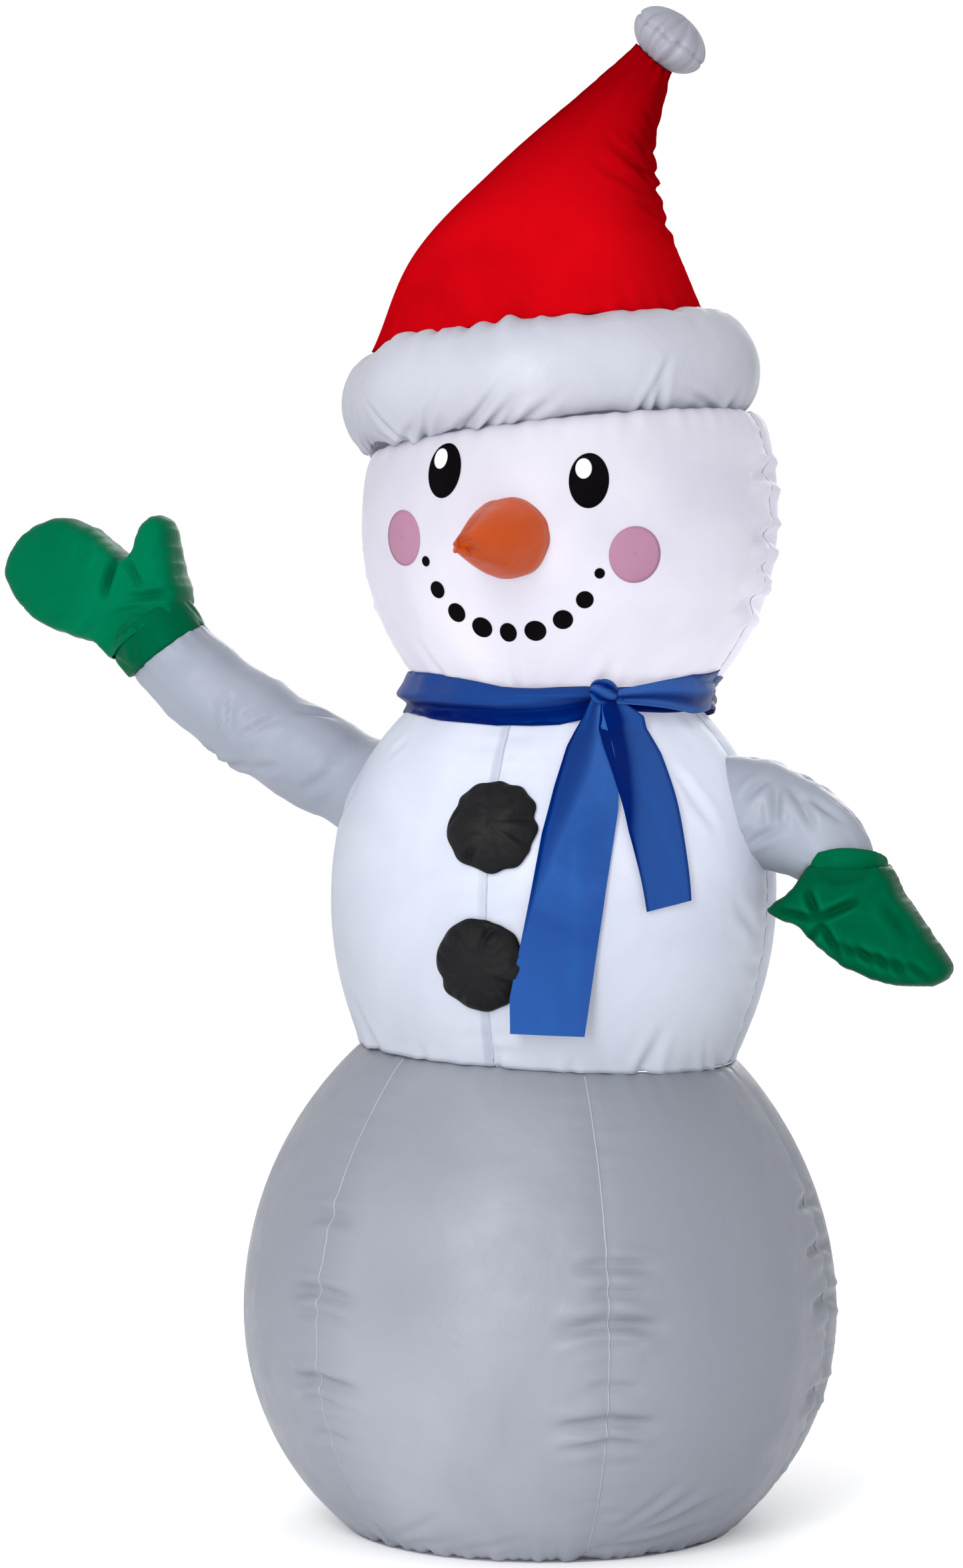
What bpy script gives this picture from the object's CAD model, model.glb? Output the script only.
import bpy
import math
import numpy as np
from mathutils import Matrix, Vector, geometry
from mathutils.bvhtree import BVHTree


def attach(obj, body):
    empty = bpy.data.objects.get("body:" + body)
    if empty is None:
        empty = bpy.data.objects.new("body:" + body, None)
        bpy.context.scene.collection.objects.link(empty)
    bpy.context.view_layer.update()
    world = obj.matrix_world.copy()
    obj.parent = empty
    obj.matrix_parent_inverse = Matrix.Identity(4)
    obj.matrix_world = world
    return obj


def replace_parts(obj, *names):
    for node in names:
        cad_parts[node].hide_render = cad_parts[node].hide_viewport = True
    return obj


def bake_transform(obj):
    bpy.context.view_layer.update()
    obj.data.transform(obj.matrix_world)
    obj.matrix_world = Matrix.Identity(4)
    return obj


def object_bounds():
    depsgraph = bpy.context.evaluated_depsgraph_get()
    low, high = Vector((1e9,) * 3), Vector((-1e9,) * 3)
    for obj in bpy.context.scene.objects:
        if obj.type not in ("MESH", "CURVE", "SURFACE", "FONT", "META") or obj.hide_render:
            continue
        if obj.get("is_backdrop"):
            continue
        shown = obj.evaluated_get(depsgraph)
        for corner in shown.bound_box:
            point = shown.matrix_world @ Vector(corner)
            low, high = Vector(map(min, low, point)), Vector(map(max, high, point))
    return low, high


# Looks of the air-filled yard snowman.  Lengths are millimetres in the shared frame until a mesh is made.
# Azimuth 0 is the front (-Y) and grows towards +X.

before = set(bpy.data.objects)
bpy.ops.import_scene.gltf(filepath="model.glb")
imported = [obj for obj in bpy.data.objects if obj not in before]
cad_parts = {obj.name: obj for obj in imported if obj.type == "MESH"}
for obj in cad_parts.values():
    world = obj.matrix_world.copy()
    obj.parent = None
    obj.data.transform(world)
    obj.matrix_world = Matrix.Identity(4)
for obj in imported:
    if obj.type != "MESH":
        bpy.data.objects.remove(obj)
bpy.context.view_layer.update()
MM = 0.001
FRONT_VIEW = 17.0
CAMERA_REACH, CAMERA_HEIGHT = 3300.0, 703.0
CAMERA_DOWN, CAMERA_LEFT = 1.786, 0.83
CAMERA_LENS = 93.48
LIGHT_AIM = 600
CLOTH_FRAMES = 20
FULL_TURN = 2 * math.pi
scene = bpy.context.scene


# ---- Camera, floor and light ------------------------------------------------------------------------

camera = bpy.data.objects.new("camera", bpy.data.cameras.new("camera"))
scene.collection.objects.link(camera)
turn = math.radians(FRONT_VIEW)
camera.location = Vector((CAMERA_REACH * math.sin(turn), -CAMERA_REACH * math.cos(turn), CAMERA_HEIGHT)) * MM
camera.rotation_euler = (math.radians(90 - CAMERA_DOWN), 0, math.radians(FRONT_VIEW + CAMERA_LEFT))
camera.data.sensor_width = 36
camera.data.lens = CAMERA_LENS
camera.data.clip_end = 60
scene.camera = camera
scene.view_settings.view_transform = "Standard"


def softbox(name, azimuth, reach, height, size, watts):
    """A rectangular studio light at an azimuth, turned towards a height on the object's axis."""
    light = bpy.data.lights.new(name, "AREA")
    light.shape = "RECTANGLE"
    light.size, light.size_y = size
    light.energy = watts
    lamp = bpy.data.objects.new(name, light)
    spin = math.radians(azimuth)
    lamp.location = (reach * MM * math.sin(spin), -reach * MM * math.cos(spin), height * MM)
    lamp.rotation_euler = (Vector((0, 0, LIGHT_AIM * MM)) - lamp.location).to_track_quat("-Z", "Y").to_euler()
    scene.collection.objects.link(lamp)


softbox("key_light", 0, 3000, 1400, (0.8, 2.4), 88)
softbox("back_light", 185, 3000, 1600, (1.6, 1.6), 26)
world = bpy.data.worlds.new("studio")
world.use_nodes = True
world.node_tree.nodes["Background"].inputs["Color"].default_value = (1, 1, 1, 1)
world.node_tree.nodes["Background"].inputs["Strength"].default_value = 1.0
scene.world = world


# ---- Materials ---------------------------------------------------------------------------------------

def linear(*channels):
    """A screen colour, 0 to 255, as linear light."""
    return tuple((c / 255) ** 2.2 for c in channels) + (1.0,)


class Shader:
    """A Principled material with helpers for its procedural nodes."""

    def __init__(self, name, roughness=0.5, metallic=0.0, sheen=0.0, coat=0.0, specular=0.5, gloss=(1, 1, 1)):
        self.material = bpy.data.materials.new(name)
        self.material.use_nodes = True
        self.tree = self.material.node_tree
        self.main = self.tree.nodes["Principled BSDF"]
        self.set(self.main, Roughness=roughness, Metallic=metallic)
        self.main.inputs["Sheen Weight"].default_value = sheen
        self.main.inputs["Coat Weight"].default_value = coat
        self.main.inputs["Specular IOR Level"].default_value = specular
        self.main.inputs["Specular Tint"].default_value = (*gloss, 1)
        self.where = self.tree.nodes.new("ShaderNodeTexCoord").outputs["Object"]

    def set(self, node, **values):
        for key, value in values.items():
            node.inputs[key].default_value = value

    def paint(self, share, colour, dark):
        self.join(self.mix(share, linear(*colour), linear(*dark)), self.main.inputs["Base Color"])

    def polish(self, value, low, high):
        self.join(self.ramp(value, low, high), self.main.inputs["Roughness"])

    def relief(self, normal):
        self.join(normal, self.main.inputs["Normal"])

    def node(self, kind, **values):
        made = self.tree.nodes.new("ShaderNode" + kind)
        self.set(made, **values)
        return made

    def join(self, output, target):
        self.tree.links.new(output, target)

    def noise(self, scale, detail=3.0, distortion=0.0, stretch=None):
        made = self.node("TexNoise", Scale=scale, Detail=detail, Distortion=distortion)
        source = self.where
        if stretch:
            squeeze = self.node("Mapping", Scale=stretch)
            self.join(source, squeeze.inputs["Vector"])
            source = squeeze.outputs["Vector"]
        self.join(source, made.inputs["Vector"])
        return made.outputs["Fac"]

    def bands(self, direction, pitch):
        """Fine parallel ribs, pitch in metres."""
        made = self.node("TexWave", Scale=2 * math.pi / (20 * pitch))
        made.bands_direction = direction
        self.join(self.where, made.inputs["Vector"])
        return made.outputs["Fac"]

    def ramp(self, value, low, high, from_low=0.3, from_high=0.7):
        ends = {"From Min": from_low, "From Max": from_high, "To Min": low, "To Max": high}
        made = self.node("MapRange", **ends)
        self.join(value, made.inputs["Value"])
        return made.outputs["Result"]

    def math(self, operation, first, second):
        made = self.tree.nodes.new("ShaderNodeMath")
        made.operation = operation
        for socket, value in zip(made.inputs, (first, second)):
            if isinstance(value, (int, float)):
                socket.default_value = value
            else:
                self.join(value, socket)
        return made.outputs[0]

    def mix(self, share, first, second):
        made = self.tree.nodes.new("ShaderNodeMix")
        made.data_type = "RGBA"
        for socket, value in ((made.inputs[0], share), (made.inputs[6], first), (made.inputs[7], second)):
            if isinstance(value, (int, float, tuple)):
                socket.default_value = value
            else:
                self.join(value, socket)
        return made.outputs[2]

    def bump(self, height, strength, distance, under=None):
        made = self.node("Bump", Strength=strength, Distance=distance)
        self.join(height, made.inputs["Height"])
        if under:
            self.join(under, made.inputs["Normal"])
        return made.outputs["Normal"]

    def attribute(self, name):
        made = self.tree.nodes.new("ShaderNodeAttribute")
        made.attribute_name = name
        return made.outputs["Fac"]


def fabric(name, colour, dark, roughness=0.5, crumple=0.25, glow=None, rib=0.0009, specular=0.5,
           gloss=(1, 1, 1)):
    """Coated polyester: a fine plain weave, soft crumples and a slightly uneven colour."""
    s = Shader(name, roughness, specular=specular, gloss=gloss)
    cloudy = s.ramp(s.noise(7.0, 4.0, 0.6), 0.0, 0.55)
    worn = s.math("MAXIMUM", cloudy, s.attribute("shade"))
    s.paint(worn, colour, dark)
    s.polish(s.noise(40.0, 3.0), roughness - 0.06, roughness + 0.08)
    weave = s.math("ADD", s.bands("X", rib), s.math("ADD", s.bands("Y", rib), s.bands("Z", rib)))
    soft = s.bump(s.noise(22.0, 5.0, 1.6), crumple, 0.004)
    fine = s.bump(s.noise(90.0, 3.0, 0.8), crumple * 0.5, 0.0009, soft)
    s.relief(s.bump(weave, 0.12, 0.0001, fine))
    if glow:
        centre, reach, low, high, tint = glow
        apart = s.tree.nodes.new("ShaderNodeVectorMath")
        apart.operation = "DISTANCE"
        apart.inputs[1].default_value = [c * MM for c in centre]
        s.join(s.where, apart.inputs[0])
        lit = s.ramp(apart.outputs["Value"], high, low, reach[0] * MM, reach[1] * MM)
        s.join(s.math("MULTIPLY", lit, s.math("SUBTRACT", 1.0, s.math("MULTIPLY", worn, 0.45))),
               s.main.inputs["Emission Strength"])
        s.main.inputs["Emission Color"].default_value = linear(*tint)
    return s.material


def moulded(name, colour, dark, roughness=0.4, coat=0.0):
    """Moulded plastic or rubber with a fine spark texture."""
    s = Shader(name, roughness, coat=coat)
    s.paint(s.ramp(s.noise(18.0, 4.0), 0.0, 0.6), colour, dark)
    s.polish(s.noise(60.0, 3.0), roughness - 0.08, roughness + 0.1)
    s.relief(s.bump(s.noise(350.0, 2.0), 0.2, 0.0002))
    return s.material


def metal(name, colour, dark, roughness=0.3):
    s = Shader(name, roughness, metallic=1.0)
    s.paint(s.ramp(s.noise(45.0, 5.0, 0.4), 0.0, 0.7), colour, dark)
    s.polish(s.noise(120.0, 3.0, 0.0, (1, 1, 8)), roughness - 0.08, roughness + 0.12)
    s.relief(s.bump(s.noise(200.0, 2.0, 0.0, (1, 1, 6)), 0.08, 0.0002))
    return s.material


def webbing(name, colour, dark):
    """Woven strap: coarse ribs across the length."""
    s = Shader(name, 0.75, sheen=0.3)
    rows = s.math("MULTIPLY", s.bands("X", 0.0018), s.bands("DIAGONAL", 0.0018))
    s.paint(s.ramp(rows, 0.0, 1.0, 0.0, 0.8), dark, colour)
    s.relief(s.bump(rows, 0.5, 0.0004))
    return s.material


def printed(name, colour, dark):
    """Ink on coated fabric."""
    s = Shader(name, 0.6, specular=0.0)
    s.paint(s.ramp(s.noise(30.0, 3.0), 0.0, 0.5), colour, dark)
    s.relief(s.bump(s.bands("Z", 0.0009), 0.08, 0.0001))
    return s.material


HEAD_GLOW, TORSO_GLOW, BASE_GLOW = (40, 30, 724), (60, -60, 600), (0, -190, 80)
look = {
    "base_fabric": fabric("base_cloth", (125, 128, 137), (105, 109, 119), 0.42, crumple=0.2, specular=0.3,
                          glow=(BASE_GLOW, (40, 230), 0.0, 0.14, (222, 226, 240))),
    "torso_fabric": fabric("torso_cloth", (160, 164, 174), (134, 140, 154), 0.5, crumple=0.15, specular=0.3,
                           glow=(TORSO_GLOW, (105, 235), 0.03, 0.31, (226, 232, 255))),
    "head_fabric": fabric("head_cloth", (152, 150, 158), (132, 131, 144), 0.5, crumple=0.12, specular=0.3,
                          glow=(HEAD_GLOW, (124, 235), 0.24, 0.57, (240, 236, 252))),
    "brim_fabric": fabric("brim_cloth", (158, 160, 170), (132, 134, 146), specular=0.4),
    "arm_fabric": fabric("arm_cloth", (134, 139, 150), (113, 119, 131), 0.36, crumple=0.2, specular=0.14),
    "hat_fabric": fabric("hat_cloth", (172, 12, 20), (116, 0, 14), 0.42, crumple=0.2, specular=0.0),
    "pompom_fabric": fabric("pompom_cloth", (134, 136, 146), (110, 112, 122), 0.55, crumple=0.3),
    "mitten_fabric": fabric("mitten_cloth", (0, 94, 64), (0, 62, 40), 0.4, crumple=0.3, specular=0.04,
                            gloss=(0, 1, 0.7)),
    "cuff_fabric": fabric("cuff_cloth", (0, 84, 56), (0, 58, 38), 0.42, crumple=0.3, specular=0.04,
                          gloss=(0, 1, 0.7)),
    "scarf_fabric": fabric("scarf_cloth", (46, 80, 140), (0, 24, 80), 0.4, crumple=0.2, rib=0.0014,
                           specular=0.12,
                           gloss=(0.0, 0.4, 1)),
    "button_fabric": fabric("button_cloth", (21, 21, 23), (12, 12, 14), 0.62, crumple=0.6, specular=0.15),
    "nose_fabric": fabric("nose_cloth", (176, 70, 18), (140, 50, 10), 0.42, specular=0.25,
                          gloss=(1, 0.3, 0.1)),
    "baffle_fabric": fabric("baffle_cloth", (215, 215, 220), (190, 190, 198), 0.6),
    "sandbag_fabric": fabric("sandbag_cloth", (90, 92, 88), (60, 62, 58), 0.7),
    "webbing": webbing("strap_webbing", (34, 35, 38), (14, 15, 17)),
    "zip_tape": webbing("zip_tape_weave", (176, 182, 192), (140, 146, 158)),
    "zip_metal": metal("zip_metal", (150, 152, 156), (96, 98, 104), 0.32),
    "eyelet_metal": metal("eyelet_metal", (168, 170, 172), (110, 112, 116), 0.28),
    "blower_plastic": moulded("blower_plastic", (30, 31, 34), (16, 17, 19), 0.45),
    "fan_plastic": moulded("fan_plastic", (70, 72, 76), (44, 46, 50), 0.4),
    "inlet_plastic": moulded("inlet_plastic", (20, 20, 22), (10, 10, 12), 0.3),
    "band_plastic": moulded("band_plastic", (190, 194, 202), (160, 165, 175), 0.5),
    "motor_steel": metal("motor_steel", (150, 152, 156), (100, 102, 108), 0.35),
    "screw_steel": metal("screw_steel", (70, 72, 78), (40, 42, 48), 0.35),
    "bush_brass": metal("bush_brass", (196, 158, 84), (140, 104, 46), 0.3),
    "magnet": moulded("magnet_ferrite", (44, 44, 48), (26, 26, 30), 0.55),
    "armature": metal("armature_iron", (120, 108, 96), (74, 64, 56), 0.45),
    "gland_rubber": moulded("gland_rubber", (24, 24, 25), (12, 12, 13), 0.8),
    "lead_pvc": moulded("lead_pvc", (226, 226, 228), (196, 196, 202), 0.45),
    "socket_plastic": moulded("socket_plastic", (232, 232, 230), (204, 204, 202), 0.4),
    "lamp_dome": moulded("lamp_dome", (244, 246, 250), (214, 220, 230), 0.2, 0.4),
}
INK = printed("black_ink", (20, 18, 20), (10, 10, 12))
WHITE_INK = printed("white_ink", (190, 190, 196), (176, 176, 184))
PINK_INK = printed("pink_ink", (145, 107, 127), (136, 98, 119))

# ---- Lamp leads ---------------------------------------------------------------------------------------


def lead(name, node, points):
    """A thin lead inside the figure, on one smooth spline."""
    curve = bpy.data.curves.new(name, "CURVE")
    curve.dimensions = "3D"
    spline = curve.splines.new("NURBS")
    spline.points.add(len(points) - 1)
    for knot, point in zip(spline.points, points):
        knot.co = (*(c * MM for c in point), 1)
    spline.order_u = 3
    spline.use_endpoint_u = True
    spline.resolution_u = 16
    curve.bevel_depth = 1.5 * MM
    curve.bevel_resolution = 5
    curve.use_fill_caps = True
    curve.materials.append(look["lead_pvc"])
    made = bpy.data.objects.new(name, curve)
    scene.collection.objects.link(made)
    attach(made, "root")
    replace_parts(made, node)


lead("lower_lamp_lead", "lamp_lead_lower", [
    (-30, 182, 84), (-30, 132, 84), (-18, 84, 190), (2, 62, 330),
    (7, 62, 376), (9, 61, 398), (11, 20, 424), (11, 20, 476),
])
lead("upper_lamp_lead", "lamp_lead_upper", [
    (-1, 20, 476), (-1, 20, 436), (-23, 26, 418), (-45, 36, 460),
    (-18, 28, 610), (10, 18, 700), (25, 10, 716), (25, 10, 776),
])

# ---- Mesh helpers ------------------------------------------------------------------------------------


def piece(name, points, faces, slot, material=None, body="root", smooth=True):
    """A mesh object from points in millimetres, riding on a body."""
    mesh = bpy.data.meshes.new(name)
    mesh.from_pydata((np.asarray(points, float) * MM).tolist(), [], [list(map(int, f)) for f in faces])
    mesh.validate()
    mesh.polygons.foreach_set("use_smooth", [smooth] * len(mesh.polygons))
    mesh.materials.append(material or look[slot])
    made = bpy.data.objects.new(name, mesh)
    scene.collection.objects.link(made)
    if body:
        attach(made, body)
    return made


def shade(obj, values):
    """Stores how dark the cloth is at each point, from 0 to 1."""
    layer = obj.data.attributes.new("shade", "FLOAT", "POINT")
    layer.data.foreach_set("value", np.asarray(values, np.float32).ravel())


def thicken(obj, wall=0.6, offset=-1.0):
    made = obj.modifiers.new("wall", "SOLIDIFY")
    made.thickness = wall * MM
    made.offset = offset
    return obj


def grid_faces(rows, cols, closed=True):
    i = np.arange(rows - 1)[:, None] * cols
    j = np.arange(cols if closed else cols - 1)[None, :]
    k = (j + 1) % cols
    return np.stack([i + j, i + k, i + cols + k, i + cols + j], -1).reshape(-1, 4)


def circle(count):
    """Even angles round a full turn."""
    return np.arange(count) * FULL_TURN / count


def turn_from(angle, azimuth=0.0):
    """The turn from an azimuth in degrees, within half a circle to both sides."""
    return (angle - math.radians(azimuth) + math.pi) % FULL_TURN - math.pi


def placed(x, z, lean):
    """A frame at a point, leaning by some degrees towards +X."""
    c, s = math.cos(math.radians(lean)), math.sin(math.radians(lean))
    return np.array([[c, 0, s, x], [0, 1, 0, 0], [-s, 0, c, z], [0, 0, 0, 1.0]])


def power(value, n):
    """A power that keeps the sign, for squared-off rounds."""
    return np.sign(value) * np.abs(value) ** n


def carry(place, points):
    return points @ place[:3, :3].T + place[:3, 3]


def along_run(run):
    """Points every millimetre along a run of (r, z) corners; a third number is the bend of the edge after."""
    points = []
    for first, last in zip(run, run[1:]):
        a, b = np.array(first[:2], float), np.array(last[:2], float)
        chord = b - a
        length = np.hypot(*chord)
        count = max(2, round(length))
        share = np.arange(count)[:, None] / count
        if len(first) == 3:
            bend = first[2]
            rise = math.copysign(math.sqrt(bend * bend - length * length / 4), bend)
            centre = (a + b) / 2 + np.array([-chord[1], chord[0]]) / length * rise
            start, end = (math.atan2(*(p - centre)[::-1]) for p in (a, b))
            sweep = turn_from(end - start)
            turns = start + sweep * share[:, 0]
            points.append(centre + abs(bend) * np.stack([np.cos(turns), np.sin(turns)], 1))
        else:
            points.append(a + chord * share)
    points.append([run[-1][:2]])
    return np.concatenate(points)


def section(run, place, low, high, cols, rows):
    """A turned skin between two cutting planes, as a dict of grids: points, normals and where they are."""
    dense = along_run(run)
    angle = circle(cols)
    out = np.stack([np.sin(angle), -np.cos(angle), 0 * angle], 1)
    tangent = np.gradient(dense, axis=0)
    tangent /= np.hypot(tangent[:, 0], tangent[:, 1])[:, None]
    length = np.concatenate([[0], np.cumsum(np.hypot(*np.diff(dense, axis=0).T))])
    points = np.zeros((rows, cols, 3))
    normals = np.zeros((rows, cols, 3))
    from_low = np.zeros((rows, cols))
    total = np.zeros(cols)
    level = np.zeros((rows, cols))
    for c in range(cols):
        line = out[c] * dense[:, :1] + [0, 0, 1] * dense[:, 1:]
        world = carry(place, line)
        ends = []
        for plane, default in ((low, 0.0), (high, length[-1])):
            if plane is None:
                ends.append(default)
                continue
            side = (world - plane[0]) @ plane[1]
            ends.append(float(np.interp(0.0, side, length)))
        at = np.linspace(ends[0], ends[1], rows)
        r, z = (np.interp(at, length, dense[:, n]) for n in range(2))
        tr, tz = (np.interp(at, length, tangent[:, n]) for n in range(2))
        points[:, c] = out[c] * r[:, None] + [0, 0, 1] * z[:, None]
        normals[:, c] = out[c] * tz[:, None] - [0, 0, 1] * tr[:, None]
        from_low[:, c] = at - ends[0]
        total[c] = ends[1] - ends[0]
        level[:, c] = z
    return {
        "points": carry(place, points), "normals": normals @ place[:3, :3].T, "level": level,
        "angle": angle[None, :] + 0 * from_low, "low": from_low, "high": total[None, :] - from_low,
        "radius": np.hypot(points[..., 0], points[..., 1]),
    }


def plane_of(place, shift=0.0):
    return carry(place, np.array([0, 0, shift])), place[:3, 2]


def off(grid, azimuth):
    """Distance round the skin from an azimuth in degrees, in millimetres."""
    return turn_from(grid["angle"], azimuth) * grid["radius"]


def ripple(rng, angle, low, high, terms=7):
    """A smooth wavy function round a circle, between low and high waves, of about unit size."""
    waves = rng.integers(low, high + 1, terms)
    phases = rng.uniform(0, 6.28, terms)
    return sum(np.cos(n * angle + p) for n, p in zip(waves, phases)) / math.sqrt(terms / 2)


def wobble(rng, distance, short, long):
    """A smooth wavy function of a length, with waves from short to long millimetres."""
    terms = 7
    waves = rng.uniform(short, long, terms)
    phases = rng.uniform(0, 6.28, terms)
    return sum(np.cos(6.283 * distance / w + p) for w, p in zip(waves, phases)) / math.sqrt(terms / 2)


def crease(u, v, start, end, width, depth, sewn=False):
    """A fold from start to end in skin coordinates: a groove with raised shoulders; a sewn end stays deep."""
    run = np.subtract(end, start)
    length = np.hypot(*run)
    along, across = run / length, np.array([-run[1], run[0]]) / length
    t = ((u - start[0]) * along[0] + (v - start[1]) * along[1]) / length
    x = np.abs((u - start[0]) * across[0] + (v - start[1]) * across[1]) / width
    inside = (t > 0) & (t < 1)
    fade = np.where(inside, (1 - t) * np.clip(t * 9 + 0.6, 0, 1) if sewn else 4 * t * (1 - t), 0)
    if sewn:
        fade = np.where((t <= 0) & (t > -0.15), 0.6 + 4 * t, fade)
    return -depth * np.clip(fade, 0, 1) * (np.exp(-x * x) - 0.55 * np.exp(-((x - 1.8) ** 2)))


def seam_draw(rng, across, level, draw=2.4, width=13.0, pucker=1.0, reach=20.0):
    """Cloth pulled in along a sewn seam, with short gathers to both sides."""
    near = np.abs(across)
    sides = np.where(across > 0, wobble(rng, level, 7, 24), wobble(rng, level, 7, 24))
    return -draw * np.exp(-near / width) + pucker * sides * np.exp(-near / reach) * (1 - np.exp(-near / 3.5))


def lenses(across, level, marks):
    """Lens-shaped dents across a seam; a mark is (level, reach left, reach right, height, depth)."""
    total = 0
    for at, left, right, tall, depth in marks:
        depth = 1.9 * depth
        side = np.abs(across) / np.where(across < 0, left, right)
        shape = np.clip(1 - ((side - 0.36) / 0.64) ** 2, 0, 1) ** 1.5
        t = (level - at + 0.10 * np.abs(across)) / (0.72 * tall)
        total = total - depth * shape * (np.exp(-t * t) - 0.6 * np.exp(-((np.abs(t) - 1.9) ** 2)))
    return total


def drawn_in(grid, push, inward=(5, 5), low=True, high=True):
    """The displaced skin with its raw edges turned inwards, as one grid."""
    points = grid["points"] + grid["normals"] * push[..., None]
    rows = [points]
    middle = points.mean(axis=(0, 1))
    for wanted, edge, first in ((low, points[:1], True), (high, points[-1:], False)):
        if wanted:
            centre = edge.mean(axis=1, keepdims=True)
            reach = inward[0] if first else inward[1]
            tuck = edge + (centre - edge) / np.linalg.norm(centre - edge, axis=2, keepdims=True) * reach
            tuck = tuck + (middle - centre) / np.linalg.norm(middle - centre) * 1.0
            rows = [tuck, *rows] if first else [*rows, tuck]
    return np.concatenate(rows)


def skin_piece(name, grid, push, slot, nodes, low=True, high=True, dark=None, inward=(5, 5), hole=None):
    """A displaced skin as a piece; points where hole is below zero are left open."""
    stack = drawn_in(grid, push, inward, low, high)
    rows, cols = stack.shape[:2]
    faces = grid_faces(rows, cols)
    if hole is not None:
        away = np.concatenate([hole[:1]] * low + [hole] + [hole[-1:]] * high).ravel()
        faces = faces[away[faces].min(axis=1) > 0]
    made = piece(name, stack.reshape(-1, 3), faces, slot)
    dark = np.zeros(push.shape) if dark is None else dark
    parts = [dark[:1]] * low + [dark] + [dark[-1:]] * high
    shade(made, np.clip(np.concatenate(parts), 0, 1))
    thicken(made)
    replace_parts(made, *nodes)
    return made


def seam_lines(name, lines, width, slot, material, lift=0.25):
    """Narrow sewn strips; a line is (points, outward directions)."""
    points, faces = [], []
    for line, outward in lines:
        ahead = np.gradient(line, axis=0)
        side = np.cross(ahead, outward)
        side /= np.linalg.norm(side, axis=1)[:, None]
        base = len(points)
        for p, s, n in zip(line, side, outward):
            foot = p + n * lift * 0.4
            points += [foot - s * width / 2, p + n * (lift + 0.35), foot + s * width / 2]
        faces += (grid_faces(len(line), 3, False) + base).tolist()
    return thicken(piece(name, points, faces, slot, material), 0.3, 0.0)


def at_column(grid, push, azimuth):
    cols = push.shape[1]
    c = round(azimuth / 360 * cols) % cols
    return grid["points"][:, c] + grid["normals"][:, c] * push[:, c, None], grid["normals"][:, c]


# ---- Base ball ---------------------------------------------------------------------------------------

WAIST = placed(8, 386, 3.2)
TORSO = placed(8, 386, 1.3)
NECK = placed(16, 668, 3.0)
HEAD = placed(16, 668, 3.4)
BRIM = placed(9, 923, -5.8)
rng = np.random.default_rng(11)

BALL_RUN = [(158, 1.4, 224.4), (240.7, 174, 290.4), (109.5, 418)]
ball = section(BALL_RUN, placed(0, 0, 0), None, plane_of(WAIST, 1.2), 400, 112)
level, low, high = ball["level"], ball["low"], ball["high"]
push = 0.7 * ripple(rng, ball["angle"], 5, 17) * np.sin(np.clip(low / (low + high), 0, 1) * math.pi)
BALL_SEAMS = [-30, 30, 90, 150, 210, 270]
marks = {
    -30: [(270, 26, 34, 7, 2.2), (212, 40, 50, 8, 3.2), (196, 26, 44, 6, 2.0), (142, 34, 52, 8, 3.4),
          (128, 20, 40, 6, 2.0), (98, 20, 30, 6, 1.5)],
    30: [(243, 30, 44, 7, 2.6), (222, 20, 34, 5, 1.6), (198, 46, 48, 9, 4.0), (183, 34, 30, 6, 2.2),
         (122, 50, 44, 8, 3.4), (106, 40, 30, 6, 2.4), (150, 24, 26, 6, 1.6)],
    90: [(270, 34, 30, 8, 2.6), (235, 40, 30, 8, 3.0), (193, 40, 40, 8, 3.2), (120, 36, 36, 8, 2.6)],
}
for azimuth in BALL_SEAMS:
    across = off(ball, azimuth)
    calm = np.clip(low / 50, 0.3, 1) * np.clip(high / 60, 0.15, 1)
    push += seam_draw(rng, across, level, 3.0, 15, 0.6, 20) * calm
    spots = marks.get(azimuth) or [
        (z + rng.uniform(-8, 8), *(rng.uniform(*ends) for ends in ((24, 44), (24, 44), (6, 9), (1.5, 3.2))))
        for z in (105, 140, 180, 225, 268)
    ]
    push += lenses(across, level, spots)
u = off(ball, 45)
for start, end, width, depth in [
    ((-42, 18), (72, 74), 5, 3.0), ((-38, 22), (36, 84), 5, 2.2), ((-50, 12), (84, 44), 4, 2.0),
    ((-40, 30), (10, 92), 5, 1.8), ((-46, 16), (40, 26), 4, 1.6), ((-150, 10), (-96, 34), 5, 1.5),
    ((-215, 14), (-170, 60), 6, 1.8), ((-205, 8), (-150, 26), 5, 1.5),
]:
    push += crease(u, low, start, end, width, depth)
hem = np.exp(-low / 13)
push += hem * (0.8 * ripple(rng, ball["angle"], 50, 110) + 0.9 * ripple(rng, ball["angle"], 14, 40))
push += 0.3 * np.exp(-high / 18) * ripple(rng, ball["angle"], 24, 60) - 2.4 * np.exp(-high / 4)
back = np.exp(-((off(ball, 180) / 105) ** 4)) * np.exp(-(((level - 219) / 24) ** 4))
push = push * (1 - back) - 0.35 * back
mouth = np.hypot(off(ball, 180) * 0.93, level - 72)
push -= (3.0 * np.exp(-((mouth - 50) / 14) ** 2)
         * (1 + 0.5 * np.cos(26 * np.arctan2(level - 72, off(ball, 180) + 0.01))))
push = np.minimum(push, (level - 0.8) / np.maximum(-ball["normals"][..., 2], 0.01))
facing = turn_from(ball["angle"])
stripes = np.clip(0.5 * np.exp(-low / 9) + 0.2 * np.exp(-high / 10)
                  + 0.55 * (1 - np.exp(-(facing / 0.42) ** 4)), 0, 1)
skin_piece("base_ball", ball, push, "base_fabric", ["base_gore_" + s for s in (
    "front", "front_right", "back_right", "back", "back_left", "front_left")], dark=stripes,
    hole=mouth - 46.4)
PALE_THREAD = fabric("seam_tape", (142, 147, 158), (122, 128, 140), 0.5)
seams = []
for azimuth in BALL_SEAMS:
    line, outward = at_column(ball, push, azimuth)
    seams.append((line[2:-1], outward[2:-1]))
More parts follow.
